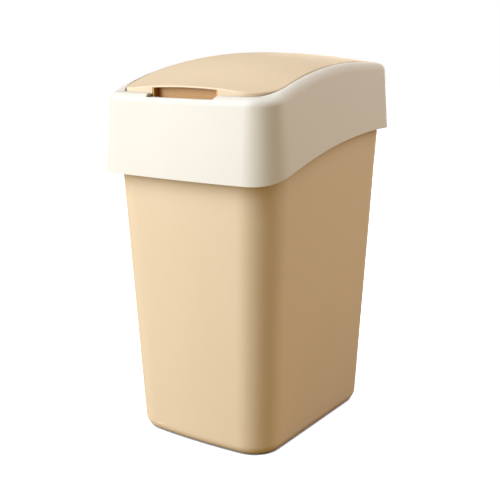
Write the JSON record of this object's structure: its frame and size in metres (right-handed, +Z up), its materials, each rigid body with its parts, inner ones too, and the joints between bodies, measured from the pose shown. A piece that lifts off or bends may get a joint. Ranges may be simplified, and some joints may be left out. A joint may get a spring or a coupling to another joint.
{
  "type": "kitchen bin",
  "caption": "Tapered kitchen bin with rounded corners, a lift-off collar with an arched rolled top, and a crowned flap hinged at the back and lifted by a finger slot at the front.",
  "frame": {"origin": "on the floor under the middle of the whole bin's box", "axes": "+Z up, -Y towards the front with the finger slot, +X to the right of someone who stands before the bin and looks at its front"},
  "size_m": [0.261, 0.322, 0.4822],
  "materials": {
    "bucket_plastic": "matt beige polypropylene",
    "frame_plastic": "matt cream polypropylene",
    "flap_plastic": "matt beige polypropylene",
    "cup_plastic": "matt beige polypropylene",
    "pin_plastic": "natural acetal"
  },
  "bodies": {
    "bucket_body": {"bucket": "bucket_plastic"},
    "frame_body": {"lid_frame": "frame_plastic", "hinge_pin_left": "pin_plastic", "hinge_pin_right": "pin_plastic"},
    "flap_body": {"flap": "flap_plastic", "finger_cup": "cup_plastic"}
  },
  "joints": [
    {"name": "frame_lift", "type": "slide", "parent": "bucket_body", "child": "frame_body", "axis": [0, 0, 1], "range_m": [0, 0.09]},
    {"name": "flap_hinge", "type": "hinge", "parent": "frame_body", "child": "flap_body", "pos_m": [0, 0.11897, 0.46275], "axis": [-1, 0, 0], "range_deg": [0, 105]}
  ]
}
